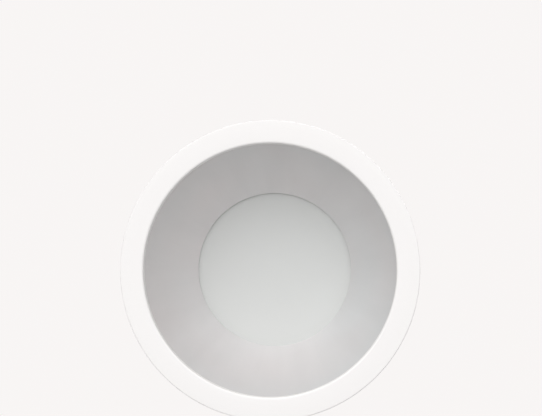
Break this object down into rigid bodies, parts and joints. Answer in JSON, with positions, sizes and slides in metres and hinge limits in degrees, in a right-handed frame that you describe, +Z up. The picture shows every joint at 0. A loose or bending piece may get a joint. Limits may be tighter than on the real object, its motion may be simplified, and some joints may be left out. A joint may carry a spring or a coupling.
{
  "type": "recessed light",
  "caption": "Round recessed ceiling light: white flange, satin aluminium cone, frosted lens, finned heat sink, folding spring clips, driver and junction box on top.",
  "frame": {"origin": "on the light's axis, level with the ceiling's lower face, where the flange's gasket ends", "axes": "+Z up into the ceiling void along the light's axis, +X towards the supply cable's entry, +Y towards the first spring clip and the junction door's hinge"},
  "size_m": [0.18, 0.18, 0.1455],
  "materials": {
    "white_powder_coat": "fine satin powder coat",
    "cast_aluminium": "as-cast, lightly blasted",
    "satin_aluminium": "spun and satin anodised",
    "black_heat_sink": "black anodised casting",
    "foam_rubber": "closed-cell foam",
    "silicone": "translucent grey silicone",
    "opal_plastic": "frosted opal sheet",
    "white_plastic": "moulded, fine texture",
    "white_board": "white solder mask",
    "phosphor": "yellow phosphor gel",
    "thermal_pad": "grey-blue silicone pad",
    "zinc_sheet": "zinc-plated pressed sheet",
    "spring_steel": "bright drawn spring wire",
    "screw_steel": "zinc-plated",
    "black_rubber": "matt moulded rubber",
    "case_plastic": "spark-eroded moulding",
    "circuit_board": "green solder mask",
    "ferrite": "sintered ferrite",
    "winding_tape": "yellow tape over the winding",
    "capacitor_sleeve": "shrink sleeve",
    "filter_block": "epoxy-filled box",
    "enamelled_copper": "enamelled copper winding",
    "black_plastic": "moulded",
    "ceramic": "glazed ceramic",
    "green_plastic": "moulded",
    "lead_insulation": "extruded insulation"
  },
  "bodies": {
    "root": {"trim_ring": "white_powder_coat", "mounting_collar": "cast_aluminium", "ceiling_gasket": "foam_rubber", "reflector_cone": "satin_aluminium", "lens_gasket": "silicone", "diffuser_lens": "opal_plastic", "mixing_cup": "white_plastic", "led_board": "white_board", "led_chips": "phosphor", "led_connector": "white_plastic", "led_board_screws": "screw_steel", "thermal_pad": "thermal_pad", "heat_sink": "black_heat_sink", "housing_gasket": "silicone", "rear_housing": "cast_aluminium", "trim_screws": "screw_steel", "heat_sink_screws": "screw_steel", "clip_bracket_1": "zinc_sheet", "clip_bracket_2": "zinc_sheet", "clip_bracket_3": "zinc_sheet", "clip_pins": "screw_steel", "clip_bracket_screws": "screw_steel", "clip_spring_1": "spring_steel", "clip_spring_2": "spring_steel", "clip_spring_3": "spring_steel", "driver_plate": "zinc_sheet", "driver_plate_screws": "screw_steel", "driver_case": "case_plastic", "driver_cover": "case_plastic", "driver_cover_screws": "screw_steel", "driver_board": "circuit_board", "driver_board_screws": "screw_steel", "transformer_core": "ferrite", "transformer_winding": "winding_tape", "bulk_capacitors": "capacitor_sleeve", "filter_capacitor": "filter_block", "input_choke": "enamelled_copper", "power_chips": "black_plastic", "fuse": "ceramic", "board_terminals": "green_plastic", "led_leads": "lead_insulation", "supply_leads": "lead_insulation", "lead_grommet": "black_rubber", "mounting_rivets": "screw_steel", "junction_box": "case_plastic", "door_pin": "screw_steel", "terminal_block": "white_plastic", "terminal_screws": "screw_steel", "terminal_block_screws": "screw_steel", "cable_clamp": "black_plastic", "cable_clamp_screws": "screw_steel", "cable_grommet": "black_rubber"},
    "clip_1": {"clip_arm_1": "zinc_sheet", "clip_foot_1": "black_rubber"},
    "clip_2": {"clip_arm_2": "zinc_sheet", "clip_foot_2": "black_rubber"},
    "clip_3": {"clip_arm_3": "zinc_sheet", "clip_foot_3": "black_rubber"},
    "junction_door": {"junction_door": "case_plastic"}
  },
  "joints": [
    {"name": "clip_1_fold", "type": "hinge", "parent": "root", "child": "clip_1", "pos_m": [0, 0.0766, 0.0445], "axis": [1, 0, 0], "range_deg": [0, 166], "stiffness_Nm_per_rad": 0.12, "springref_deg": -71.62, "deforming": ["clip_spring_1"]},
    {"name": "clip_2_fold", "type": "hinge", "parent": "root", "child": "clip_2", "pos_m": [-0.06634, -0.0383, 0.0445], "axis": [-0.5, 0.866, 0], "range_deg": [0, 166], "stiffness_Nm_per_rad": 0.12, "springref_deg": -71.62, "deforming": ["clip_spring_2"]},
    {"name": "clip_3_fold", "type": "hinge", "parent": "root", "child": "clip_3", "pos_m": [0.06634, -0.0383, 0.0445], "axis": [-0.5, -0.866, 0], "range_deg": [0, 166], "stiffness_Nm_per_rad": 0.12, "springref_deg": -71.62, "deforming": ["clip_spring_3"]},
    {"name": "junction_door_hinge", "type": "hinge", "parent": "root", "child": "junction_door", "pos_m": [0.042, 0.0282, 0.1375], "axis": [-1, 0, 0], "range_deg": [0, 105]}
  ]
}
